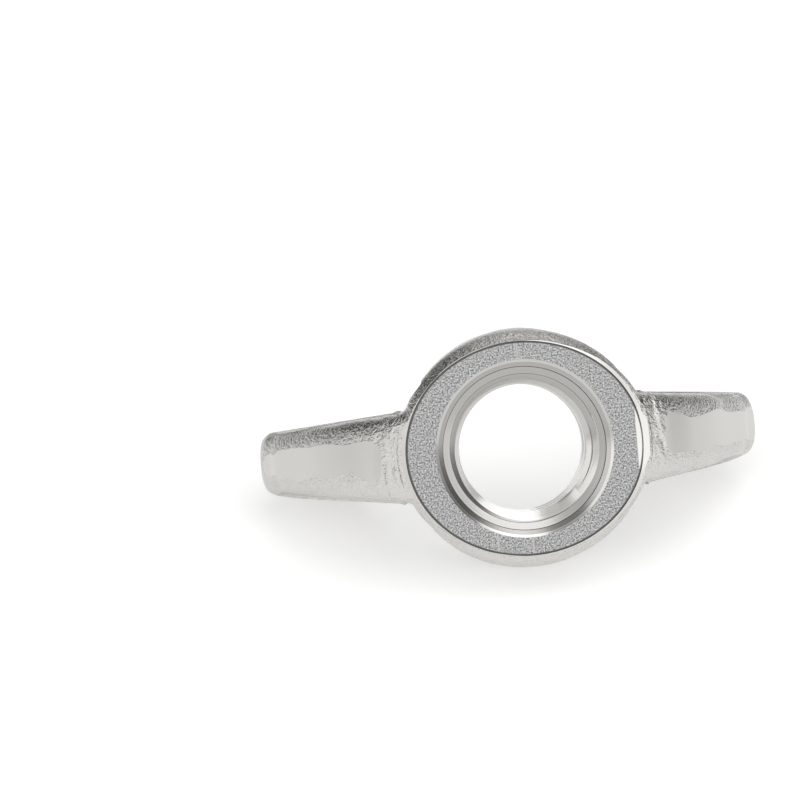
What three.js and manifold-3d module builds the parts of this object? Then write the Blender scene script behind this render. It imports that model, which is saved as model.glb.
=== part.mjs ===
// Wing nut, M10, forged stainless steel: a round hub with a tapped bore and two upright wings, one piece.
// Millimetres. The origin is on the bore axis in the bearing face, +Z is up the bore towards the wing
// tips, and the wings spread along +X and -X.
import * as THREE from "three";
import { mergeGeometries, mergeVertices } from "three/addons/utils/BufferGeometryUtils.js";
import Module from "manifold-3d";

// ---- driving dimensions ---------------------------------------------------------------------
const HUB_RADIUS = 8.0; // round hub, widest part
const HUB_HEIGHT = 5.8; // bearing face to the flat ring between the wings
const BEARING_RADIUS = 6.95; // outer radius of the flat bearing ring, across the wings
const BEARING_REACH = 7.6; // and along the wings, where the ring runs out a little
const BASE_ROUND = 2.1; // height of the rounding between the bearing ring and the hub's side
const BASE_SINK_RADIUS = 5.8; // mouth of the countersink in the bearing face
const BASE_SINK_DEPTH = 1.35;
const BASE_LIP = [0.75, 0.45]; // the shallower lip of that countersink: width and depth
const TOP_SINK_RADIUS = 5.15; // mouth of the countersink between the wings
const TOP_SINK_DEPTH = 0.8;
const HUB_SIDES = 96; // facets round the hub

const THREAD_MAJOR = 10.0; // M10 x 1.5, right-hand
const THREAD_PITCH = 1.5;
const THREAD_MINOR = 8.5;
const THREAD_SIDES = 48; // facets in one turn
const TOOTH_DEPTH = 1.05; // height of the tap's teeth, a little more than the thread's own depth
const TAP_CORE = 1.5; // radius of the tap's hollow core

const WING_ROOT_HALF = 3.05; // half thickness of a wing beside the hub
const WING_TIP_HALF = 2.2; // half thickness at the tip
const WING_ROOT_X = 8.3;
const WING_TIP_X = 17.2;
const OUTER_LAND = 1.0; // half width of the flat land along a wing's outer edge
const OUTER_RUN = 2.05; // the outer edge slopes away from the land over this width
const OUTER_DEPTH = 1.5;
const INNER_LAND = 0.4; // the inner edge is rounded almost from its middle
const INNER_RUN = 3.0;
const INNER_DEPTH = 1.5;
const LEAN = 0.2; // the flats' inner boundary leans back over the hub by this much a millimetre
const LEAN_FROM = 2.2; // height at which the lean starts
const WING_TIP_Z = 14.5; // height at which the tip's thickness holds
// ---- end of driving dimensions --------------------------------------------------------------

const wasm = await Module();
wasm.setup();

/** The closed mesh of a three.js geometry as a solid for the boolean operations. */
function solid(geometry) {
  const bare = new THREE.BufferGeometry();
  const source = geometry.index ? geometry.toNonIndexed() : geometry;
  bare.setAttribute("position", source.getAttribute("position"));
  const merged = mergeVertices(bare, 1e-4);
  return new wasm.Manifold(
    new wasm.Mesh({
      numProp: 3,
      vertProperties: new Float32Array(merged.attributes.position.array),
      triVerts: new Uint32Array(merged.index.array),
    }),
  );
}

/** A solid turned back into a three.js geometry with flat-shaded faces. */
function geometryOf(body) {
  const mesh = body.getMesh();
  const corners = new Float32Array(mesh.numVert * 3);
  for (let i = 0; i < mesh.numVert; i++) {
    corners.set(mesh.vertProperties.subarray(i * mesh.numProp, i * mesh.numProp + 3), i * 3);
  }
  const geometry = new THREE.BufferGeometry();
  geometry.setAttribute("position", new THREE.BufferAttribute(corners, 3));
  geometry.setIndex(new THREE.BufferAttribute(new Uint32Array(mesh.triVerts), 1));
  const flat = geometry.toNonIndexed();
  flat.computeVertexNormals();
  return flat;
}

/** A turned body about Z from [radius, height] pairs that start and end on the axis, bottom first. */
function turned(pairs, sides) {
  const profile = pairs.map(([r, z]) => new THREE.Vector2(r, z));
  return new THREE.LatheGeometry(profile, sides).rotateX(Math.PI / 2);
}

/** The hub without its bore: rounded base edge, straight side, flat top ring. */
function hubBlank() {
  const pairs = [[0, 0]];
  const bulge = HUB_RADIUS - BEARING_RADIUS;
  const start = Math.PI / 7;
  for (let i = 0; i <= 6; i++) {
    const a = start + (i / 6) * (Math.PI / 2 - start);
    const out = (Math.sin(a) - Math.sin(start)) / (1 - Math.sin(start));
    pairs.push([BEARING_RADIUS + bulge * out, BASE_ROUND * (1 - Math.cos(a) / Math.cos(start))]);
  }
  pairs.push([HUB_RADIUS, HUB_HEIGHT - 0.4], [HUB_RADIUS - 0.1, HUB_HEIGHT - 0.12]);
  pairs.push([HUB_RADIUS - 0.35, HUB_HEIGHT], [0, HUB_HEIGHT]);
  const blank = turned(pairs, HUB_SIDES);
  const position = blank.getAttribute("position");
  for (let i = 0; i < position.count; i++) {
    const r = Math.hypot(position.getX(i), position.getY(i));
    if (r < 1 || position.getZ(i) >= BASE_ROUND) continue;
    const share = Math.min(1, (HUB_RADIUS - r) / bulge);
    position.setX(i, position.getX(i) * (1 + (BEARING_REACH / BEARING_RADIUS - 1) * share));
  }
  return solid(blank);
}

/** Everything the drill and the two countersinks take away. */
function boreTool() {
  const r = THREAD_MINOR / 2;
  return solid(
    turned(
      [
        [0, -1],
        [BASE_SINK_RADIUS, -1],
        [BASE_SINK_RADIUS, 0],
        [BASE_SINK_RADIUS - BASE_LIP[0], BASE_LIP[1]],
        [r, BASE_SINK_DEPTH],
        [r, HUB_HEIGHT - TOP_SINK_DEPTH],
        [TOP_SINK_RADIUS, HUB_HEIGHT],
        [TOP_SINK_RADIUS, HUB_HEIGHT + 1],
        [0, HUB_HEIGHT + 1],
      ],
      THREAD_SIDES,
    ),
  );
}

/** Outline of the tap's teeth in one half plane, closed on itself, from below the nut to above it. */
function tapProfile() {
  const major = THREAD_MAJOR / 2;
  const rootHalf = THREAD_PITCH / 16;
  const flank = TOOTH_DEPTH * Math.tan(Math.PI / 6);
  const first = -3;
  const last = Math.ceil(HUB_HEIGHT / THREAD_PITCH) + 1;
  const points = [new THREE.Vector2(TAP_CORE, (first - 0.5) * THREAD_PITCH)];
  points.push(new THREE.Vector2(major - TOOTH_DEPTH, (first - 0.5) * THREAD_PITCH));
  for (let k = first; k <= last; k++) {
    const z = k * THREAD_PITCH;
    points.push(
      new THREE.Vector2(major - TOOTH_DEPTH, z - rootHalf - flank),
      new THREE.Vector2(major, z - rootHalf),
      new THREE.Vector2(major, z + rootHalf),
      new THREE.Vector2(major - TOOTH_DEPTH, z + rootHalf + flank),
    );
  }
  points.push(new THREE.Vector2(major - TOOTH_DEPTH, (last + 0.5) * THREAD_PITCH));
  points.push(new THREE.Vector2(TAP_CORE, (last + 0.5) * THREAD_PITCH));
  return points;
}

/** One sector of the tap: the profile turned from one facet to another while it climbs by the pitch. */
function tapSector(profile, firstSide, sides) {
  const step = (2 * Math.PI) / THREAD_SIDES;
  const from = firstSide * step;
  const to = from + sides * step;
  const climb = (phi) => (THREAD_PITCH * phi) / (2 * Math.PI);
  const wall = new THREE.LatheGeometry([...profile, profile[0].clone()], sides, from, to - from);
  const position = wall.getAttribute("position");
  const rows = profile.length + 1;
  for (let i = 0; i < position.count; i++) {
    const phi = from + Math.floor(i / rows) * step;
    position.setY(i, position.getY(i) + climb(phi));
  }
  const cap = (phi, flip) => {
    const face = new THREE.ShapeGeometry(new THREE.Shape(profile));
    if (flip) {
      const index = face.index.array;
      for (let i = 0; i < index.length; i += 3) [index[i], index[i + 1]] = [index[i + 1], index[i]];
    }
    return face.rotateY(phi - Math.PI / 2).translate(0, climb(phi), 0);
  };
  const pieces = [wall, cap(from, false), cap(to, true)].map((g) => {
    const flat = g.toNonIndexed();
    const bare = new THREE.BufferGeometry();
    bare.setAttribute("position", flat.getAttribute("position"));
    return bare;
  });
  return solid(mergeGeometries(pieces).rotateX(Math.PI / 2));
}

/** The tap: two half turns with one facet of overlap at each join. */
function threadTool() {
  const profile = tapProfile();
  const half = THREAD_SIDES / 2;
  return tapSector(profile, 0, half).add(tapSector(profile, half - 1, half + 2));
}

/** The outer edge of a wing in the middle plane, [x, z], closed well inside and above the wing. */
const OUTER_EDGE = [
  [0.0, -2.6],
  [5.6, -2.6],
  [7.2, -0.35],
  [8.5, 0.25],
  [9.8, 1.1],
  [11.7, 3.0],
  [13.65, 5.45],
  [15.15, 7.95],
  [16.6, 10.5],
  [17.4, 12.4],
  [18.2, 14.5],
  [18.9, 17.0],
  [18.9, 24.0],
  [-6.0, 24.0],
];

/** The inner edge of a wing in the middle plane, [x, z], closed well outside the wing. */
const INNER_EDGE = [
  [4.6, -8.0],
  [5.0, 4.4],
  [5.75, 5.9],
  [6.1, 7.2],
  [6.55, 8.8],
  [7.5, 11.0],
  [8.65, 13.1],
  [9.9, 15.4],
  [11.1, 17.4],
  [14.9, 24.0],
  [34.0, 24.0],
  [34.0, -8.0],
];

/** The sheared end of the wing, [x, z]: everything outside this line is cut away. */
const SHEAR_LINE = [
  [19.4, 11.4],
  [18.0, 12.9],
  [17.35, 13.95],
  [16.3, 15.0],
  [15.0, 16.0],
  [13.5, 16.85],
  [12.4, 17.3],
  [11.7, 17.35],
  [11.05, 16.9],
  [10.3, 16.2],
  [8.8, 17.6],
  [8.8, 25.0],
  [22.0, 25.0],
  [22.0, 11.4],
];

function shapeOf(pairs) {
  return new THREE.Shape(pairs.map(([x, y]) => new THREE.Vector2(x, y)));
}

/** A plate drawn in x and z, its middle at y = 0, whose edge turns away on both sides of a flat land. */
function edgedPlate(pairs, land, run, depth, steps) {
  const plate = new THREE.ExtrudeGeometry(shapeOf(pairs), {
    depth: 2 * land,
    bevelEnabled: true,
    bevelThickness: run,
    bevelSize: depth,
    bevelOffset: -depth,
    bevelSegments: steps,
  });
  return solid(plate.translate(0, 0, -land).rotateX(Math.PI / 2));
}

/** A straight prism drawn in x and z. */
function sidePrism(pairs, width) {
  const prism = new THREE.ExtrudeGeometry(shapeOf(pairs), { depth: width, bevelEnabled: false });
  return solid(prism.translate(0, 0, -width / 2).rotateX(Math.PI / 2));
}

/** The wing's thickness: two long flats that draw together, with a small flare leaning over the hub. */
function thicknessPrism() {
  const run = WING_TIP_X - WING_ROOT_X + LEAN * (WING_TIP_Z - LEAN_FROM);
  const half = (x) => WING_ROOT_HALF + ((WING_TIP_HALF - WING_ROOT_HALF) * (x - WING_ROOT_X)) / run;
  const side = [
    [0.0, 5.2],
    [6.2, 4.8],
    [6.8, 4.15],
    [7.2, 3.75],
    [7.7, 3.35],
    [8.4, half(8.4)],
    [26.0, half(26.0)],
  ];
  const outline = [...side, ...side.map(([x, y]) => [x, -y]).reverse()];
  const below = 10;
  const prism = new THREE.ExtrudeGeometry(shapeOf(outline), { depth: 4 * below, bevelEnabled: false });
  const tilt = new THREE.Matrix4().makeShear(0, 0, 0, 0, -LEAN, 0);
  return solid(prism.translate(0, 0, -below - LEAN_FROM).applyMatrix4(tilt).translate(0, 0, LEAN_FROM));
}

/** One wing on the +X side, still solid through the hub. */
function wing() {
  return edgedPlate(OUTER_EDGE, OUTER_LAND, OUTER_RUN, OUTER_DEPTH, 1)
    .intersect(edgedPlate(INNER_EDGE, INNER_LAND, INNER_RUN, INNER_DEPTH, 4))
    .intersect(thicknessPrism())
    .subtract(sidePrism(SHEAR_LINE, 20));
}

function build() {
  const underneath = solid(new THREE.BoxGeometry(60, 60, 20).translate(0, 0, -10));
  const right = wing();
  const forging = hubBlank().add(right).add(right.rotate([0, 0, 180])).subtract(underneath);
  return forging.subtract(boreTool()).subtract(threadTool());
}

const group = new THREE.Group();
group.name = "wing_nut";

const steel = new THREE.MeshStandardMaterial({ color: 0xc9c7c2, metalness: 1.0, roughness: 0.28 });
const body = new THREE.Mesh(geometryOf(build()), steel);
body.name = "wing_nut_body";
group.add(body);

export default group;
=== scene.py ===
"""A forged stainless M10 wing nut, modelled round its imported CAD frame.

The nut is one piece of steel, so it is one mesh. It is made as the real one is: a rough forging with soft
fillets, then flats pressed into the wings, sheared wing ends, a ground foot, and a drilled and tapped bore.
Solids are shaped in millimetres and brought to metres when the piece is finished.
"""

import math

import bmesh
import bpy
from mathutils import Matrix, Vector, noise


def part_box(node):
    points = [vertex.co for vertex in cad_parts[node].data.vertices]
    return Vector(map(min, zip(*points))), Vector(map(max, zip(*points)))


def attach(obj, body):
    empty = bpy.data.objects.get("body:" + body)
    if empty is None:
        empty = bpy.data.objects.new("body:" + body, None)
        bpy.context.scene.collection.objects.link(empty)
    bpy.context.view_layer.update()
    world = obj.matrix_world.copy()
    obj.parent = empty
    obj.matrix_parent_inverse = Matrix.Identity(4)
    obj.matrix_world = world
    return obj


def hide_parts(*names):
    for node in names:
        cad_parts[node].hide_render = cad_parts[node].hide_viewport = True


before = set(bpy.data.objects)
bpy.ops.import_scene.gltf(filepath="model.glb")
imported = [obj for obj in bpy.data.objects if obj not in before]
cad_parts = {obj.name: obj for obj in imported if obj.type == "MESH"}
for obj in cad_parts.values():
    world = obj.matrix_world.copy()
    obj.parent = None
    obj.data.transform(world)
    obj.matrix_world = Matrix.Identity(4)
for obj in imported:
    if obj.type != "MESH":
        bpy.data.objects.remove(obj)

bl_info = {
    "name": "Forged Wing Nut",
    "version": (1, 0, 0),
    "blender": (4, 5, 0),
    "location": "View3D > Sidebar > Wing Nut",
    "description": "Builds a forged and tapped stainless wing nut on a studio floor",
    "category": "Add Mesh",
}

NODE = "wing_nut_body"
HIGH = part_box(NODE)[1]
MM = 1000.0  # millimetres in a metre

# ---- the forging, in millimetres ----------------------------------------------------------------------
VOXEL = 0.14  # grid of the forging's skin
SOFTENING = 10  # rounds of smoothing that melt the wings into the hub
RING_STRETCH = 0.115  # the bearing ring is drawn out this much towards the wings
FOOT_STRETCH = (0.125, 0.165)  # and the hub's foot round it this much, on either side
FOOT_HEIGHT = 2.2  # height of the rounding at the foot
SPARE = 0.25  # metal left on the top of the hub for the facing cut

# Wing sections from root to tip, each an outer and an inner point in the middle plane, (x, z).
WING_STATIONS = (
    ((5.6, -2.6), (4.5, 3.0)),
    ((7.2, -0.55), (5.1, 4.9)),
    ((8.5, 0.25), (5.7, 6.0)),
    ((9.8, 1.1), (6.05, 7.2)),
    ((11.7, 3.0), (6.7, 9.3)),
    ((13.65, 5.45), (7.55, 11.2)),
    ((15.15, 7.95), (8.65, 13.1)),
    ((16.6, 10.5), (9.9, 15.4)),
    ((17.5, 12.9), (11.1, 17.5)),
    ((18.25, 15.0), (12.3, 19.6)),
)
SECTION_SIDES = 40
OUTER_ROUND = 1.3  # depth of the rounding along a wing's outer edge
INNER_ROUND = 1.4
RIM_STEP = 0.12  # the outer rim lies this far below the pressed flat
INNER_SWELL = 0.14  # and the inner side swells this far above it before pressing
END_LIP = 0.16  # height of the rounded lip that shearing raised round each wing end
LEAN = 0.2  # the flats' inner boundary leans back over the hub by this much for each millimetre up
ROOT_X = 8.3  # where the wing's root and tip thickness hold, measured along the lean
TIP_X = 19.7

# The flat's outer boundary, where the forging dies met, then back down inside the wing, (x, z).
FLASH_LINE = (
    (8.15, 1.95), (9.2, 3.1), (10.5, 4.4), (12.1, 6.0), (13.3, 7.15), (14.3, 8.45),
    (15.05, 9.6), (15.7, 10.75), (16.25, 11.9), (16.75, 13.3), (17.1, 14.7), (17.5, 17.0),
)
FLAT_CORE = ((13.0, 17.0), (11.9, 14.5), (10.6, 12.2), (9.6, 10.2), (8.6, 8.2), (7.9, 6.3), (7.8, 4.4))

# The land along the outer edge, and the line where the end was sheared off, (x, z).
LAND_LINE = (
    (9.2, 0.5), (9.76, 1.15), (11.66, 3.04), (13.6, 5.49), (15.09, 7.98), (16.54, 10.53), (17.05, 11.8),
    (17.75, 13.1),
)
SHEAR_LINE = (
    (19.4, 11.4), (18.0, 12.9), (17.35, 13.95), (16.3, 15.0), (15.0, 16.0), (13.5, 16.85), (12.4, 17.3),
    (11.7, 17.35), (11.05, 16.9), (10.3, 16.2), (8.8, 17.6),
)

# Every temporary solid carries these in this order, so that a cut face keeps the finish of its tool.
# The bright finish and the last two are darker copies of the steel: painted shade in the bore, the
# countersink and the groove round the bearing ring.
FINISHES = ("forged", "pressed", "brushed", "frosted", "faced", "bright", "sheared", "sunk_shade", "groove_shade")


class WingNutSizes(bpy.types.PropertyGroup):
    """Sizes and colours that change the nut and the floor under it."""

    hub_radius: bpy.props.FloatProperty(
        name="Hub Radius", description="Radius of the round hub", default=HIGH.y,
        unit="LENGTH", subtype="DISTANCE",
    )
    hub_height: bpy.props.FloatProperty(
        name="Hub Height", description="From the bearing face to the ring between the wings", default=0.0058,
        unit="LENGTH", subtype="DISTANCE",
    )
    ring_radius: bpy.props.FloatProperty(
        name="Bearing Ring Radius", description="Outer radius of the flat bearing ring", default=0.00695,
        unit="LENGTH", subtype="DISTANCE",
    )
    foot_sink: bpy.props.FloatProperty(
        name="Foot Countersink", description="Radius of the countersink in the bearing face", default=0.00583,
        unit="LENGTH", subtype="DISTANCE",
    )
    top_sink: bpy.props.FloatProperty(
        name="Top Countersink", description="Radius of the countersink between the wings", default=0.00515,
        unit="LENGTH", subtype="DISTANCE",
    )
    thread_major: bpy.props.FloatProperty(
        name="Thread Diameter", description="Major diameter of the thread", default=0.010,
        unit="LENGTH", subtype="DISTANCE",
    )
    thread_minor: bpy.props.FloatProperty(
        name="Thread Bore", description="Diameter of the tapped bore at the thread crests", default=0.0085,
        unit="LENGTH", subtype="DISTANCE",
    )
    thread_pitch: bpy.props.FloatProperty(
        name="Thread Pitch", description="Distance from one thread to the next", default=0.0015,
        unit="LENGTH", subtype="DISTANCE",
    )
    root_half: bpy.props.FloatProperty(
        name="Wing Root Half Thickness", description="Half thickness of a wing beside the hub",
        default=0.00305, unit="LENGTH", subtype="DISTANCE",
    )
    tip_half: bpy.props.FloatProperty(
        name="Wing Tip Half Thickness", description="Half thickness of a wing at its end", default=0.0022,
        unit="LENGTH", subtype="DISTANCE",
    )
    steel_colour: bpy.props.FloatVectorProperty(
        name="Steel", description="Colour of the bright steel", default=(0.61, 0.598, 0.576), subtype="COLOR",
        min=0.0, max=1.0,
    )
    floor_colour: bpy.props.FloatVectorProperty(
        name="Floor", description="Colour of the studio floor", default=(0.74, 0.74, 0.735), subtype="COLOR",
        min=0.0, max=1.0,
    )


# ---- shader groups and materials ----------------------------------------------------------------------
def new_group(name, sockets_in, sockets_out):
    """A shader node group with float or vector sockets, and its input and output nodes."""
    group = bpy.data.node_groups.new(name, "ShaderNodeTree")
    for label, kind, default in sockets_in:
        socket = group.interface.new_socket(label, in_out="INPUT", socket_type=kind)
        if default is not None:
            socket.default_value = default
    for label, kind in sockets_out:
        group.interface.new_socket(label, in_out="OUTPUT", socket_type=kind)
    return group, group.nodes.new("NodeGroupInput"), group.nodes.new("NodeGroupOutput")


def math_node(tree, operation, *values):
    """A Math node whose inputs are numbers or sockets; gives its output socket."""
    node = tree.nodes.new("ShaderNodeMath")
    node.operation = operation
    for i, value in enumerate(values):
        if isinstance(value, bpy.types.NodeSocket):
            tree.links.new(value, node.inputs[i])
        else:
            node.inputs[i].default_value = value
    return node.outputs[0]


def noise_node(tree, vector, scale, detail=2.0, roughness=0.5):
    """A Noise Texture node whose scale is a number or a socket; gives its output socket."""
    node = tree.nodes.new("ShaderNodeTexNoise")
    tree.links.new(vector, node.inputs["Vector"])
    if isinstance(scale, bpy.types.NodeSocket):
        tree.links.new(scale, node.inputs["Scale"])
    else:
        node.inputs["Scale"].default_value = scale
    node.inputs["Detail"].default_value = detail
    node.inputs["Roughness"].default_value = roughness
    return node.outputs["Fac"]


def grain_group():
    """Pebbled metal skin: fine grains with broader dimples under them."""
    group, into, out = new_group(
        "Metal Grain",
        [("Vector", "NodeSocketVector", None), ("Grains", "NodeSocketFloat", 4000.0),
         ("Dimples", "NodeSocketFloat", 0.4)],
        [("Height", "NodeSocketFloat"), ("Mask", "NodeSocketFloat")],
    )
    fine = noise_node(group, into.outputs["Vector"], into.outputs["Grains"], 3.0, 0.6)
    wide_scale = math_node(group, "MULTIPLY", into.outputs["Grains"], 0.17)
    wide = noise_node(group, into.outputs["Vector"], wide_scale, 1.0, 0.5)
    patches = noise_node(group, into.outputs["Vector"], 260.0, 2.0, 0.5)
    dimples = math_node(group, "MULTIPLY", wide, into.outputs["Dimples"])
    group.links.new(math_node(group, "ADD", fine, dimples), out.inputs["Height"])
    group.links.new(patches, out.inputs["Mask"])
    return group


def turning_group():
    """Fine tool lines round the bore axis, of any period along a mix of radius and height."""
    group, into, out = new_group(
        "Turning Lines",
        [("Vector", "NodeSocketVector", None), ("Lines", "NodeSocketFloat", 8000.0),
         ("Rise", "NodeSocketFloat", 0.0)],
        [("Height", "NodeSocketFloat")],
    )
    parts = group.nodes.new("ShaderNodeSeparateXYZ")
    group.links.new(into.outputs["Vector"], parts.inputs[0])
    x2 = math_node(group, "MULTIPLY", parts.outputs["X"], parts.outputs["X"])
    y2 = math_node(group, "MULTIPLY", parts.outputs["Y"], parts.outputs["Y"])
    radius = math_node(group, "SQRT", math_node(group, "ADD", x2, y2))
    climb = math_node(group, "MULTIPLY", parts.outputs["Z"], into.outputs["Rise"])
    along = math_node(group, "MULTIPLY", math_node(group, "ADD", radius, climb), into.outputs["Lines"])
    lines = group.nodes.new("ShaderNodeTexNoise")
    lines.noise_dimensions = "1D"
    group.links.new(along, lines.inputs["W"])
    lines.inputs["Scale"].default_value = 1.0
    lines.inputs["Detail"].default_value = 2.0
    group.links.new(lines.outputs["Fac"], out.inputs["Height"])
    return group


def group_node(tree, build, name, **values):
    """A shader group placed in a material, made the first time it is needed."""
    node = tree.nodes.new("ShaderNodeGroup")
    node.node_tree = bpy.data.node_groups.get(name) or build()
    for label, value in values.items():
        node.inputs[label].default_value = value
    return node


def steel(name, colour, roughness):
    """A metal material with its Principled node and Object coordinates."""
    material = bpy.data.materials.new(name)
    material.use_nodes = True
    tree = material.node_tree
    surface = tree.nodes["Principled BSDF"]
    surface.inputs["Base Color"].default_value = (*colour, 1.0)
    surface.inputs["Metallic"].default_value = 1.0
    surface.inputs["Roughness"].default_value = roughness
    place = tree.nodes.new("ShaderNodeTexCoord").outputs["Object"]
    return material, tree, surface, place


def add_bump(tree, surface, height, depth):
    """Height in 0 to 1 becomes relief of the given depth in metres."""
    bump = tree.nodes.new("ShaderNodeBump")
    bump.inputs["Strength"].default_value = 1.0
    bump.inputs["Distance"].default_value = depth
    tree.links.new(height, bump.inputs["Height"])
    tree.links.new(bump.outputs["Normal"], surface.inputs["Normal"])


def vary_roughness(tree, surface, mask, low, high):
    """A mask makes the surface's roughness run from low to high in patches."""
    spread = tree.nodes.new("ShaderNodeMapRange")
    tree.links.new(mask, spread.inputs["Value"])
    spread.inputs["From Min"].default_value = 0.3
    spread.inputs["From Max"].default_value = 0.7
    spread.inputs["To Min"].default_value = low
    spread.inputs["To Max"].default_value = high
    tree.links.new(spread.outputs["Result"], surface.inputs["Roughness"])


def forged_steel(colour):
    material, tree, surface, place = steel("forged_steel", colour, 0.2)
    grain = group_node(tree, grain_group, "Metal Grain", Grains=4400.0, Dimples=0.7)
    tree.links.new(place, grain.inputs["Vector"])
    add_bump(tree, surface, grain.outputs["Height"], 0.00013)
    vary_roughness(tree, surface, grain.outputs["Mask"], 0.11, 0.22)
    return material


def pressed_steel(colour):
    material, tree, surface, place = steel("pressed_steel", colour, 0.34)
    grain = group_node(tree, grain_group, "Metal Grain", Grains=2600.0, Dimples=0.3)
    tree.links.new(place, grain.inputs["Vector"])
    add_bump(tree, surface, grain.outputs["Height"], 0.000004)
    vary_roughness(tree, surface, grain.outputs["Mask"], 0.24, 0.34)
    return material


def brushed_steel(colour):
    """The outer land: brushed straight across, from face to face."""
    material, tree, surface, place = steel("brushed_steel", colour, 0.3)
    across = tree.nodes.new("ShaderNodeMapping")
    across.inputs["Scale"].default_value = (1.0, 0.04, 1.0)
    tree.links.new(place, across.inputs["Vector"])
    lines = noise_node(tree, across.outputs["Vector"], 5200.0, 3.0, 0.6)
    add_bump(tree, surface, lines, 0.000008)
    return material


def frosted_steel(colour):
    """The bearing ring: blasted dull, with bright points."""
    material, tree, surface, place = steel("frosted_steel", colour, 0.5)
    grain = group_node(tree, grain_group, "Metal Grain", Grains=8200.0, Dimples=0.2)
    tree.links.new(place, grain.inputs["Vector"])
    add_bump(tree, surface, grain.outputs["Height"], 0.00004)
    points = noise_node(tree, place, 9500.0, 1.0, 0.5)
    tint = tree.nodes.new("ShaderNodeMapRange")
    tree.links.new(points, tint.inputs["Value"])
    tint.inputs["From Min"].default_value = 0.32
    tint.inputs["From Max"].default_value = 0.68
    tint.inputs["To Min"].default_value = 0.15
    tint.inputs["To Max"].default_value = 0.62
    tree.links.new(tint.outputs["Result"], surface.inputs["Base Color"])
    return material


def turned_steel(name, colour, roughness, lines, rise, depth):
    """Steel with fine tool lines round the bore."""
    material, tree, surface, place = steel(name, colour, roughness)
    turning = group_node(tree, turning_group, "Turning Lines", Lines=lines, Rise=rise)
    tree.links.new(place, turning.inputs["Vector"])
    add_bump(tree, surface, turning.outputs["Height"], depth)
    return material


def sheared_steel(colour):
    """The sheared ends: long faint scratches one way."""
    material, tree, surface, place = steel("sheared_steel", colour, 0.36)
    slant = tree.nodes.new("ShaderNodeMapping")
    slant.inputs["Rotation"].default_value = (0.0, math.radians(40.0), math.radians(12.0))
    slant.inputs["Scale"].default_value = (0.12, 1.0, 1.0)
    tree.links.new(place, slant.inputs["Vector"])
    scratches = noise_node(tree, slant.outputs["Vector"], 4200.0, 3.0, 0.6)
    add_bump(tree, surface, scratches, 0.000006)
    return material


def steel_finishes(colour):
    """One material for each name in FINISHES, in that order."""
    return (
        forged_steel(colour),
        pressed_steel(colour),
        brushed_steel(colour),
        frosted_steel(colour),
        turned_steel("faced_steel", colour, 0.27, 9000.0, 0.0, 0.000003),
        # the bore, the thread and the scribe grooves, darkened to 0.88 of the steel as painted shade in the
        # bore
        turned_steel("bright_steel", [0.88 * part for part in colour], 0.18, 6000.0, 0.8, 0.000008),
        sheared_steel(colour),
        # the foot countersink's cones: a copy of the bright finish darkened to 0.68, painted shade in the
        # countersink
        turned_steel("sunk_shade_steel", [0.68 * part for part in colour], 0.24, 6000.0, 0.8, 0.000006),
        # the groove round the bearing ring, near black at 0.3 of the steel: painted shade in the groove
        steel("groove_shade_steel", [0.3 * part for part in colour], 0.5)[0],
    )


# ---- solids -------------------------------------------------------------------------------------------
def solid(name, bm, finish):
    """A closed object from bm, in millimetres, with one finish on all its faces."""
    bmesh.ops.remove_doubles(bm, verts=bm.verts, dist=1e-4)
    bmesh.ops.recalc_face_normals(bm, faces=bm.faces)
    for face in bm.faces:
        face.material_index = FINISHES.index(finish)
    mesh = bpy.data.meshes.new(name)
    bm.to_mesh(mesh)
    bm.free()
    for key in FINISHES:
        mesh.materials.append(bpy.data.materials[key + "_steel"])
    obj = bpy.data.objects.new(name, mesh)
    bpy.context.scene.collection.objects.link(obj)
    return obj


def settle(obj):
    """Applies the object's modifiers to its mesh."""
    depsgraph = bpy.context.evaluated_depsgraph_get()
    mesh = bpy.data.meshes.new_from_object(obj.evaluated_get(depsgraph), depsgraph=depsgraph)
    rough = obj.data
    obj.modifiers.clear()
    obj.data = mesh
    bpy.data.meshes.remove(rough)


def combine(body, tool, operation):
    """Joins the tool to the body, or cuts it away, and uses it up. Cut faces carry the tool's finish."""
    step = body.modifiers.new(tool.name, "BOOLEAN")
    step.operation = operation
    step.solver = "MANIFOLD"
    step.object = tool
    settle(body)
    rough = tool.data
    bpy.data.objects.remove(tool)
    bpy.data.meshes.remove(rough)


def turned_solid(name, profile, steps, finish, hollow=False):
    """A body of revolution from (radius, height) pairs, from axis to axis or, if hollow, round a ring."""
    bm = bmesh.new()
    verts = [bm.verts.new((radius, 0.0, height)) for radius, height in profile]
    edges = [bm.edges.new(pair) for pair in zip(verts, verts[1:] + verts[:1] if hollow else verts[1:])]
    bmesh.ops.spin(
        bm, geom=verts + edges, cent=(0, 0, 0), axis=(0, 0, 1), dvec=(0, 0, 0),
        angle=2 * math.pi, steps=steps, use_merge=True, use_duplicate=False,
    )
    return solid(name, bm, finish)


def prism(name, outline, half_width, finish):
    """A straight prism through the nut, drawn in x and z."""
    bm = bmesh.new()
    face = bm.faces.new([bm.verts.new((x, -half_width, z)) for x, z in outline])
    far = bmesh.ops.extrude_face_region(bm, geom=[face])
    verts = [item for item in far["geom"] if isinstance(item, bmesh.types.BMVert)]
    bmesh.ops.translate(bm, vec=(0, 2 * half_width, 0), verts=verts)
    return solid(name, bm, finish)


def block(name, low, high, finish):
    """A box between two corners."""
    bm = bmesh.new()
    bmesh.ops.create_cube(bm, size=1.0)
    low, high = Vector(low), Vector(high)
    bmesh.ops.scale(bm, vec=high - low, verts=bm.verts)
    bmesh.ops.translate(bm, vec=(low + high) / 2, verts=bm.verts)
    return solid(name, bm, finish)


def half_turn(obj):
    """Turns a solid half round the bore, for the other wing."""
    obj.data.transform(Matrix.Rotation(math.pi, 4, "Z"))
    return obj


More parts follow.
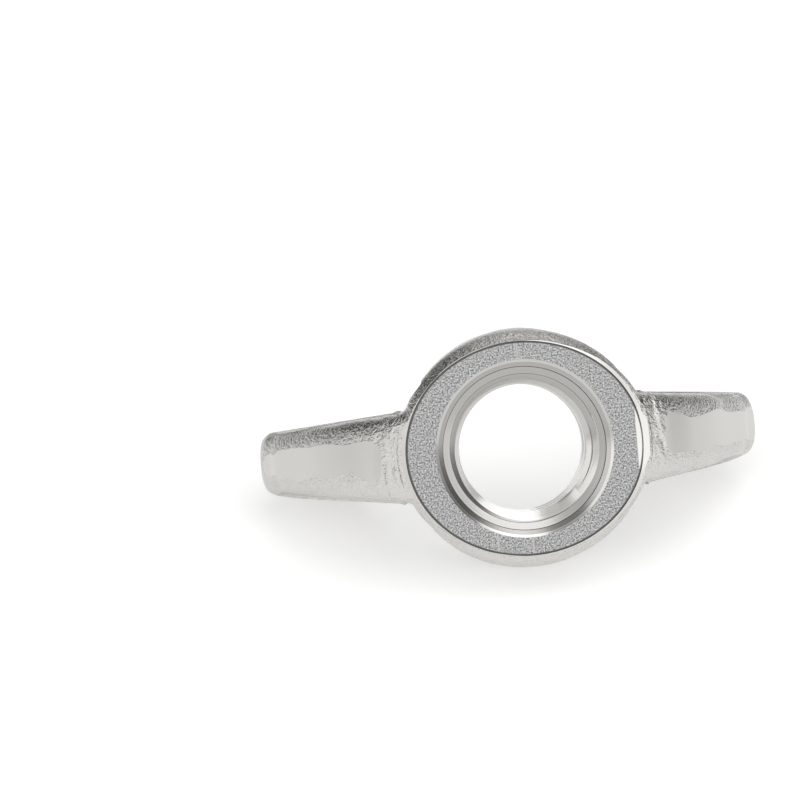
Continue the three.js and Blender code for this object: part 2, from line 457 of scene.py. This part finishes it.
def on_curve(points, t):
    """A point of the smooth curve through the points, at t from 0 to 1."""
    span = t * (len(points) - 1)
    i = min(int(span), len(points) - 2)
    f = span - i
    p0, p1, p2, p3 = (Vector(points[min(max(k, 0), len(points) - 1)]) for k in range(i - 1, i + 3))
    bend = (p2 - p0) * f + (2 * p0 - 5 * p1 + 4 * p2 - p3) * f**2 + (3 * p1 - p0 - 3 * p2 + p3) * f**3
    return p1 + bend / 2


def face_half(sizes, x, z):
    """Half thickness of the wing between its pressed flats at a point of the middle plane."""
    along = x + LEAN * (z - FOOT_HEIGHT)
    share = (along - ROOT_X) / (TIP_X - ROOT_X)
    return MM * (sizes.root_half + (sizes.tip_half - sizes.root_half) * share)


def wing_section(bm, sizes, outer, inner, grow):
    """One closed loop round the wing: a long rounded outline, fuller on its inner side."""
    chord = outer - inner
    half = chord.length / 2 + grow
    middle, along = (outer + inner) / 2, chord.normalized()
    loop = bmesh.ops.create_circle(bm, cap_ends=False, segments=SECTION_SIDES, radius=1.0)["verts"]
    turn = math.pi / SECTION_SIDES
    for vert in loop:
        angle = math.atan2(vert.co.y, vert.co.x) + turn
        c, s = math.cos(angle), math.sin(angle)
        depth, power, swell = (OUTER_ROUND, 2.6, -RIM_STEP) if c > 0 else (-INNER_ROUND, 2.1, INNER_SWELL)
        reach = math.copysign(half, c) - depth * (1 - abs(c) ** (2 / power))
        spot = middle + along * reach
        thick = face_half(sizes, spot.x, spot.y) + swell + grow
        vert.co = (spot.x, math.copysign(thick * abs(s) ** (2 / power), s), spot.y)
    return list(dict.fromkeys(edge for vert in loop for edge in vert.link_edges))


def wing_blank(sizes, grow=0.0, steps=45):
    """A wing before its flats are pressed: sections bridged along the wing from inside the hub."""
    bm = bmesh.new()
    outers = [station[0] for station in WING_STATIONS]
    inners = [station[1] for station in WING_STATIONS]
    before = None
    for i in range(steps + 1):
        t = i / steps
        lip = END_LIP * math.exp(-(((t - 0.885) / 0.035) ** 2))
        edges = wing_section(bm, sizes, on_curve(outers, t), on_curve(inners, t), grow + lip)
        if before:
            bmesh.ops.bridge_loops(bm, edges=before + edges)
        before = edges
    bmesh.ops.holes_fill(bm, edges=[edge for edge in bm.edges if edge.is_boundary], sides=0)
    return solid("wing", bm, "forged")


def hub_blank(sizes):
    """The hub before facing: a rounded foot, drawn out under the wings, and a nearly straight side."""
    r, ring, top = MM * sizes.hub_radius, MM * sizes.ring_radius, MM * sizes.hub_height + SPARE
    profile = [
        (0, -1.4), (ring - 0.9, -1.4), (ring - 0.1, -0.4), (ring + 0.14, 0.05), (ring + 0.52, 0.5),
        (r - 0.2, 0.95), (r - 0.05, 1.5), (r, FOOT_HEIGHT), (r + 0.02, 3.6), (r, top), (0, top),
    ]
    hub = turned_solid("forging", profile, 128, "forged")
    for vert in hub.data.vertices:
        share = max(0.0, 1.0 - max(vert.co.z, 0.0) / FOOT_HEIGHT)
        drawn = FOOT_STRETCH[0] if vert.co.x > 0 else FOOT_STRETCH[1]
        vert.co.x *= 1.0 + drawn * share
    return hub


def skin(obj):
    """Melts the joined solids into one forging: an even grid of faces, smoothed, then slightly uneven."""
    remesh = obj.modifiers.new("skin", "REMESH")
    remesh.mode = "VOXEL"
    remesh.voxel_size = VOXEL
    settle(obj)
    bm = bmesh.new()
    bm.from_mesh(obj.data)
    for _ in range(SOFTENING):
        bmesh.ops.smooth_vert(
            bm, verts=bm.verts, factor=0.5, use_axis_x=True, use_axis_y=True, use_axis_z=True,
        )
    bm.normal_update()
    for vert in bm.verts:
        swell = 0.07 * noise.noise(vert.co * 0.32) + 0.012 * noise.noise(vert.co * 0.9)
        fold = math.exp(-((abs(vert.co.x) + 0.25 * vert.co.z - 9.3) / 0.8) ** 2)
        swell += 0.1 * fold * noise.noise(Vector((vert.co.x * 2.6, vert.co.y * 1.1, vert.co.z * 1.1)))
        vert.co += vert.normal * swell
    bm.to_mesh(obj.data)
    bm.free()


def flat_core(sizes):
    """The raised core of a wing: its rim on the outer side is the uneven flash line."""
    outline = []
    for i, (a, b) in enumerate(zip(FLASH_LINE, FLASH_LINE[1:])):
        a, b = Vector(a), Vector(b)
        across = Vector((b.y - a.y, a.x - b.x)).normalized()
        pieces = max(2, round((b - a).length / 0.35))
        for k in range(pieces):
            spot = a.lerp(b, k / pieces)
            wander = 0.05 * noise.noise(Vector((spot.x * 0.9, 0.0, spot.y * 0.9)))
            nick = 0.03 * noise.noise(Vector((spot.x * 3.1, 5.0, spot.y * 3.1)))
            outline.append(spot + across * (wander + nick))
    outline.append(Vector(FLASH_LINE[-1]))
    outline.extend(Vector(point) for point in FLAT_CORE)
    return prism("flat_core", outline, MM * sizes.root_half + 0.6, "forged")


def press_tool(sizes, side):
    """What the dies press away beside a wing: down to the flat, with a steep shoulder towards the hub."""
    bm = bmesh.new()
    far, outside = 26.0, 12.0
    shoulder = [(6.2, 4.8), (6.8, 4.15), (7.2, 3.75), (7.7, 3.35)]
    shoulder.append((8.4, face_half(sizes, 8.4, FOOT_HEIGHT)))
    outline = [*shoulder, (far, face_half(sizes, far, FOOT_HEIGHT)), (far, outside), (6.2, outside)]
    face = bm.faces.new([bm.verts.new((x, side * y, -10.0)) for x, y in outline])
    raised = bmesh.ops.extrude_face_region(bm, geom=[face])
    verts = [item for item in raised["geom"] if isinstance(item, bmesh.types.BMVert)]
    bmesh.ops.translate(bm, vec=(0, 0, 40.0), verts=verts)
    for vert in bm.verts:
        vert.co.x -= LEAN * (vert.co.z - FOOT_HEIGHT)
    tool = solid("press", bm, "forged")
    for polygon in tool.data.polygons:
        past_shoulder = polygon.center.x > shoulder[-1][0]
        if past_shoulder and abs(polygon.center.y) < outside / 2 and abs(polygon.normal.y) > 0.9:
            polygon.material_index = FINISHES.index("pressed")
    return tool


def bore_tool(sizes):
    """The drill and both countersinks."""
    r, top = MM * sizes.thread_minor / 2, MM * sizes.hub_height
    foot, mouth = MM * sizes.foot_sink, MM * sizes.top_sink
    profile = [
        (0, -2), (foot + 0.12, -2), (foot + 0.12, -0.05), (foot, 0.04), (foot - 0.12, 0.13),
        (foot - 0.4, 0.36), (foot - 0.44, 0.46),
        (foot - 0.88, 0.68), (foot - 0.9, 0.76), (foot - 1.22, 1.02), (foot - 1.3, 1.2),
        (r, 1.44), (r, top - 1.0), (r + 0.25, top - 0.7), (r + 0.42, top - 0.58), (mouth - 0.12, top - 0.14),
        (mouth, top + 0.05), (mouth, top + 4), (0, top + 4),
    ]
    # The bore's bright finish is darkened as painted shade in the bore.
    tool = turned_solid("bore", profile, 128, "bright")
    for polygon in tool.data.polygons:
        # Faces of the countersink get the darker copy: painted shade in the countersink.
        if 0.14 < polygon.center.z < 0.9:  # the countersink inside its lip
            polygon.material_index = FINISHES.index("sunk_shade")
    return tool


def thread_tool(sizes):
    """The tap: one tooth section wound up the bore."""
    major, pitch = MM * sizes.thread_major / 2, MM * sizes.thread_pitch
    depth, crest, steps, turns = 0.95, pitch / 16, 72, 7
    flank = depth * math.tan(math.radians(30))
    start = -1.6
    bm = bmesh.new()
    corners = (
        (major - depth, -crest - flank), (major, -crest), (major, crest), (major - depth, crest + flank),
    )
    face = bm.faces.new([bm.verts.new((x, 0.0, start + z)) for x, z in corners])
    bmesh.ops.spin(
        bm, geom=[face, *face.edges, *face.verts], cent=(0, 0, 0), axis=(0, 0, 1),
        dvec=(0, 0, pitch / steps), angle=2 * math.pi * turns, steps=steps * turns,
        use_merge=False, use_duplicate=False,
    )
    return solid("tap", bm, "bright")


def shear_tool():
    """What the shear cuts off a wing's end."""
    outline = [*SHEAR_LINE, (8.8, 26.0), (24.0, 26.0), (24.0, 11.4)]
    return prism("shear", outline, 12.0, "sheared")


def land_tool():
    """What the die trims off a wing's outer edge."""
    line = [on_curve(LAND_LINE, i / 60) for i in range(61)]
    outline = [*line, (26.0, 13.1), (26.0, -8.0), (9.2, -8.0)]
    return prism("land", outline, 12.0, "brushed")


def root_facet_tool():
    """The small slanted facet beside the bearing ring, crescent shaped, where a wing leaves the hub."""
    tool = prism("root_facet", [(7.42, 0.0), (10.0, 0.78), (10.0, -1.0), (7.42, -1.0)], 6.0, "pressed")
    reach = turned_solid("facet_reach", [(0, -2), (8.33, -2), (8.33, 2), (0, 2)], 96, "forged")
    combine(tool, reach, "INTERSECT")
    return tool


def ring_edge_tool(sizes):
    """The fine line and the smooth slope that the die left round the bearing ring, the line painted near
    black as shade in its groove.
    """
    ring = MM * sizes.ring_radius
    profile = [
        (ring - 0.02, -0.3), (ring + 0.02, 0.14), (ring + 0.1, 0.14), (ring + 0.14, 0.04),
        (ring + 0.36, 0.15), (ring + 0.66, 0.32), (ring + 0.66, -0.3),
    ]
    tool = turned_solid("ring_edge", profile, 128, "pressed", hollow=True)
    # The groove's faces get the near-black finish, painted shade in the groove; the slope outside it keeps
    # the forged skin.
    for polygon in tool.data.polygons:
        outward = polygon.center.xy.length - ring
        if outward > 0.36:
            polygon.material_index = FINISHES.index("forged")
        elif outward < 0.13:
            polygon.material_index = FINISHES.index("groove_shade")
    tool.data.transform(Matrix.Diagonal((1.0 + RING_STRETCH, 1.0, 1.0, 1.0)))
    return tool


def facing_tool(sizes):
    """The facing cut over the hub's top, which goes round the wings."""
    top = MM * sizes.hub_height
    tool = turned_solid("facing", [(0, top), (9.5, top), (9.5, top + 1.6), (0, top + 1.6)], 96, "faced")
    combine(tool, wing_blank(sizes, grow=0.12), "DIFFERENCE")
    combine(tool, half_turn(wing_blank(sizes, grow=0.12)), "DIFFERENCE")
    return tool


def scribe_tool(x, y):
    """A fine straight groove across the bearing ring, left by the die."""
    low, high = sorted((y * 0.9, y * 1.12))
    return block("scribe", (x - 0.07, low, -0.1), (x + 0.07, high, 0.02), "bright")


def put_in_order(elements, place):
    """Sorts vertices or faces by place, because the boolean solver leaves them in any order."""
    ordered = sorted(elements, key=lambda element: tuple(place(element)))
    rank = {element: i for i, element in enumerate(ordered)}
    elements.sort(key=rank.get)
    elements.index_update()


def finish_piece(obj):
    """Marks the crisp edges, splits the faces into triangles and brings the piece to metres."""
    bm = bmesh.new()
    bm.from_mesh(obj.data)
    bmesh.ops.remove_doubles(bm, verts=bm.verts, dist=5e-4)
    bmesh.ops.dissolve_degenerate(bm, edges=bm.edges, dist=5e-4)
    bmesh.ops.triangulate(bm, faces=[face for face in bm.faces if len(face.verts) > 3])
    put_in_order(bm.verts, lambda vert: vert.co)
    put_in_order(bm.faces, lambda face: face.calc_center_median())
    for face in bm.faces:
        face.smooth = True
    for edge in bm.edges:
        faces = edge.link_faces
        if len(faces) == 2:
            mixed = faces[0].material_index != faces[1].material_index
            edge.smooth = not (mixed or edge.calc_face_angle(0.0) > math.radians(20))
    bmesh.ops.scale(bm, vec=(1 / MM,) * 3, verts=bm.verts)
    bm.to_mesh(obj.data)
    bm.free()


class WINGNUT_OT_forge(bpy.types.Operator):
    """Forge, press, shear, face, drill and tap the wing nut"""

    bl_idname = "wingnut.forge"
    bl_label = "Wing Nut"
    bl_options = {"REGISTER", "UNDO"}

    def execute(self, context):
        sizes = context.scene.wing_nut
        steel_finishes(tuple(sizes.steel_colour))
        nut = hub_blank(sizes)
        nut.name = "wing_nut"
        combine(nut, wing_blank(sizes), "UNION")
        combine(nut, half_turn(wing_blank(sizes)), "UNION")
        skin(nut)
        for turn in (lambda obj: obj, half_turn):
            combine(nut, turn(flat_core(sizes)), "UNION")
            for side in (1, -1):
                combine(nut, turn(press_tool(sizes, side)), "DIFFERENCE")
            combine(nut, turn(land_tool()), "DIFFERENCE")
            combine(nut, turn(shear_tool()), "DIFFERENCE")
        combine(nut, half_turn(root_facet_tool()), "DIFFERENCE")
        combine(nut, facing_tool(sizes), "DIFFERENCE")
        combine(nut, block("floor_cut", (-20, -20, -9), (20, 20, 0), "frosted"), "DIFFERENCE")
        combine(nut, ring_edge_tool(sizes), "DIFFERENCE")
        for x, y in ((0.0, -6.2), (2.3, -5.9), (0.0, 6.35)):
            combine(nut, scribe_tool(x, y), "DIFFERENCE")
        combine(nut, bore_tool(sizes), "DIFFERENCE")
        combine(nut, thread_tool(sizes), "DIFFERENCE")
        finish_piece(nut)
        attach(nut, "root")
        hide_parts(NODE)
        return {"FINISHED"}


# ---- stage --------------------------------------------------------------------------------------------
FLOOR_TILT = 26.6  # degrees between the bore axis and the floor that the nut lies on
FLOOR_GLOW = 0.42  # lifts the floor to a clean white
CAMERA_PLACE = (0.01404, 0.00499, -0.15777)
CAMERA_LENS = 108.05
CAMERA_RIGHT = (-0.9956, -0.0855, -0.0390)
CAMERA_UP = (-0.0857, 0.9963, 0.0037)


def floor_up():
    """The floor's upward direction: the nut lies on its hub and wing tips, with the bore nearly level."""
    tilt = math.radians(FLOOR_TILT)
    return Vector((0.0, math.cos(tilt), -math.sin(tilt)))


def stage_axes():
    """Right, back (away from the camera) and up, in the nut's frame."""
    up = floor_up()
    back = (up * up.dot(Vector(CAMERA_PLACE)) - Vector(CAMERA_PLACE)).normalized()
    return back.cross(up), back, up


def floor_material(colour):
    """Plain pale floor, seen only from above."""
    material = bpy.data.materials.new("studio_floor")
    material.use_nodes = True
    tree = material.node_tree
    surface = tree.nodes["Principled BSDF"]
    surface.inputs["Base Color"].default_value = (*colour, 1.0)
    surface.inputs["Roughness"].default_value = 0.8
    surface.inputs["Specular IOR Level"].default_value = 0.2
    surface.inputs["Emission Color"].default_value = (1.0, 1.0, 1.0, 1.0)
    surface.inputs["Emission Strength"].default_value = FLOOR_GLOW
    clear = tree.nodes.new("ShaderNodeBsdfTransparent")
    side = tree.nodes.new("ShaderNodeNewGeometry").outputs["Backfacing"]
    mix = tree.nodes.new("ShaderNodeMixShader")
    tree.links.new(side, mix.inputs[0])
    tree.links.new(surface.outputs[0], mix.inputs[1])
    tree.links.new(clear.outputs[0], mix.inputs[2])
    tree.links.new(mix.outputs[0], tree.nodes["Material Output"].inputs["Surface"])
    return material


def add_floor(nut, colour):
    """The floor, touching the nut's lowest point."""
    up = floor_up()
    height = min(up.dot(vert.co) for vert in nut.data.vertices)
    bm = bmesh.new()
    bmesh.ops.create_grid(bm, x_segments=1, y_segments=1, size=0.7)
    turn = up.to_track_quat("Z", "Y").to_matrix().to_4x4()
    bmesh.ops.transform(bm, matrix=Matrix.Translation(up * height) @ turn, verts=bm.verts)
    mesh = bpy.data.meshes.new("floor")
    bm.to_mesh(mesh)
    bm.free()
    mesh.materials.append(floor_material(colour))
    floor = bpy.data.objects.new("floor", mesh)
    bpy.context.scene.collection.objects.link(floor)


def add_light(name, place, size, radiance):
    """A square soft box at (right, back, up) from the nut, in metres, that faces it."""
    right, back, up = stage_axes()
    light = bpy.data.lights.new(name, "AREA")
    light.size = size
    light.energy = radiance * math.pi * size**2
    lamp = bpy.data.objects.new(name, light)
    bpy.context.scene.collection.objects.link(lamp)
    lamp.location = right * place[0] + back * place[1] + up * place[2]
    lamp.rotation_mode = "QUATERNION"
    lamp.rotation_quaternion = (-lamp.location).to_track_quat("-Z", "Y")


def panel_group():
    """A soft-edged patch of the studio's walls, wide or tall, bright or (below zero) dark."""
    group, into, out = new_group(
        "Wall Panel",
        [("Direction", "NodeSocketVector", None), ("Centre", "NodeSocketVector", None),
         ("Stretch", "NodeSocketVector", None), ("Reach", "NodeSocketFloat", 0.5),
         ("Edge", "NodeSocketFloat", 0.2), ("Level", "NodeSocketFloat", 1.0)],
        [("Light", "NodeSocketFloat")],
    )
    away = group.nodes.new("ShaderNodeVectorMath")
    away.operation = "SUBTRACT"
    group.links.new(into.outputs["Direction"], away.inputs[0])
    group.links.new(into.outputs["Centre"], away.inputs[1])
    drawn = group.nodes.new("ShaderNodeVectorMath")
    drawn.operation = "MULTIPLY"
    group.links.new(away.outputs[0], drawn.inputs[0])
    group.links.new(into.outputs["Stretch"], drawn.inputs[1])
    far = group.nodes.new("ShaderNodeVectorMath")
    far.operation = "LENGTH"
    group.links.new(drawn.outputs[0], far.inputs[0])
    patch = group.nodes.new("ShaderNodeMapRange")
    patch.interpolation_type = "SMOOTHSTEP"
    group.links.new(far.outputs["Value"], patch.inputs["Value"])
    group.links.new(into.outputs["Reach"], patch.inputs["From Min"])
    outer = math_node(group, "ADD", into.outputs["Reach"], into.outputs["Edge"])
    group.links.new(outer, patch.inputs["From Max"])
    patch.inputs["To Min"].default_value = 1.0
    patch.inputs["To Max"].default_value = 0.0
    level = math_node(group, "MULTIPLY", patch.outputs["Result"], into.outputs["Level"])
    group.links.new(level, out.inputs["Light"])
    return group


def heading(azimuth, elevation):
    """A direction from the nut: azimuth from the camera round to the right, elevation above the floor."""
    a, e = math.radians(azimuth), math.radians(elevation)
    return Vector((math.sin(a) * math.cos(e), -math.cos(a) * math.cos(e), math.sin(e)))


# Azimuth, elevation, stretch, reach, edge and level of each patch of wall, over an even grey.
WALL_LEVEL = 0.63
WALL_PANELS = (
    (-15, 76, (1.0, 1.0, 1.5), 0.35, 0.4, 0.3),  # ceiling
    (-4, 8, (1.0, 1.0, 1.4), 0.8, 0.35, 0.37),  # pale front of the room
    (-72, 34, (1.0, 1.0, 0.45), 0.25, 0.08, 0.85),  # tall front left soft box
    (58, 30, (1.0, 1.0, 0.45), 0.27, 0.08, 0.8),  # tall front right soft box
    (130, 66, (1.0, 1.0, 1.0), 0.16, 0.12, 0.5),  # high back right soft box
    (-124, 8, (1.0, 1.0, 0.5), 0.46, 0.24, -0.6),  # dark left wall
    (124, 8, (1.0, 1.0, 0.55), 0.46, 0.24, -0.57),  # dark right wall
    (-126, 62, (1.0, 1.0, 0.4), 0.18, 0.3, -0.55),  # dark corner high on the left
    (175, 20, (1.0, 1.0, 1.0), 0.3, 0.1, 0.08),  # paler back of the room
)


def add_world():
    """The studio's walls as the steel mirrors them, and plain white behind everything the camera sees."""
    world = bpy.data.worlds.new("studio")
    bpy.context.scene.world = world
    world.use_nodes = True
    tree = world.node_tree
    tree.nodes.clear()
    aim = tree.nodes.new("ShaderNodeMapping")
    aim.vector_type = "VECTOR"
    aim.inputs["Rotation"].default_value = Matrix(stage_axes()).to_euler()
    tree.links.new(tree.nodes.new("ShaderNodeTexCoord").outputs["Generated"], aim.inputs["Vector"])
    total = WALL_LEVEL
    for azimuth, elevation, stretch, reach, edge, level in WALL_PANELS:
        panel = group_node(
            tree, panel_group, "Wall Panel", Centre=heading(azimuth, elevation), Stretch=stretch,
            Reach=reach, Edge=edge, Level=level,
        )
        tree.links.new(aim.outputs["Vector"], panel.inputs["Direction"])
        total = math_node(tree, "ADD", panel.outputs["Light"], total)
    walls = tree.nodes.new("ShaderNodeBackground")
    tree.links.new(math_node(tree, "MAXIMUM", total, 0.04), walls.inputs["Strength"])
    walls.inputs["Color"].default_value = (1.0, 1.0, 1.0, 1.0)
    plain = tree.nodes.new("ShaderNodeBackground")
    plain.inputs["Color"].default_value = (1.0, 1.0, 1.0, 1.0)
    mix = tree.nodes.new("ShaderNodeMixShader")
    tree.links.new(tree.nodes.new("ShaderNodeLightPath").outputs["Is Camera Ray"], mix.inputs[0])
    tree.links.new(walls.outputs[0], mix.inputs[1])
    tree.links.new(plain.outputs[0], mix.inputs[2])
    tree.links.new(mix.outputs[0], tree.nodes.new("ShaderNodeOutputWorld").inputs["Surface"])


def add_camera():
    """The camera, placed and turned by its right and up directions."""
    data = bpy.data.cameras.new("camera")
    data.lens = CAMERA_LENS
    data.clip_start = 0.01
    data.clip_end = 10.0
    camera = bpy.data.objects.new("camera", data)
    bpy.context.scene.collection.objects.link(camera)
    right, up = Vector(CAMERA_RIGHT).normalized(), Vector(CAMERA_UP)
    back = right.cross(up).normalized()
    turn = Matrix((right, back.cross(right), back)).transposed().to_4x4()
    camera.matrix_world = Matrix.Translation(CAMERA_PLACE) @ turn
    bpy.context.scene.camera = camera


class WINGNUT_OT_stage(bpy.types.Operator):
    """Add the floor, the soft lights, the pale surroundings and the camera"""

    bl_idname = "wingnut.stage"
    bl_label = "Studio"
    bl_options = {"REGISTER", "UNDO"}

    def execute(self, context):
        nut = bpy.data.objects.get("wing_nut")
        if nut is None:
            raise RuntimeError("make the wing nut before the studio")
        add_floor(nut, tuple(context.scene.wing_nut.floor_colour))
        add_light("overhead", (0.1, -0.06, 0.34), 0.3, 1.15)
        add_world()
        add_camera()
        context.scene.view_settings.view_transform = "Standard"
        return {"FINISHED"}


class WINGNUT_PT_panel(bpy.types.Panel):
    """Sizes and colours of the wing nut"""

    bl_idname = "WINGNUT_PT_panel"
    bl_label = "Wing Nut"
    bl_space_type = "VIEW_3D"
    bl_region_type = "UI"
    bl_category = "Wing Nut"

    def draw(self, context):
        sizes = context.scene.wing_nut
        for name in WingNutSizes.__annotations__:
            self.layout.prop(sizes, name)
        for operator in (WINGNUT_OT_forge, WINGNUT_OT_stage):
            self.layout.operator(operator.bl_idname)


CLASSES = (WingNutSizes, WINGNUT_OT_forge, WINGNUT_OT_stage, WINGNUT_PT_panel)


def register():
    for cls in CLASSES:
        bpy.utils.register_class(cls)
    bpy.types.Scene.wing_nut = bpy.props.PointerProperty(type=WingNutSizes)


def unregister():
    del bpy.types.Scene.wing_nut
    for cls in reversed(CLASSES):
        bpy.utils.unregister_class(cls)


def main():
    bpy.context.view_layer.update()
    register()
    bpy.ops.wingnut.forge()
    bpy.ops.wingnut.stage()


if __name__ == "__main__":
    main()
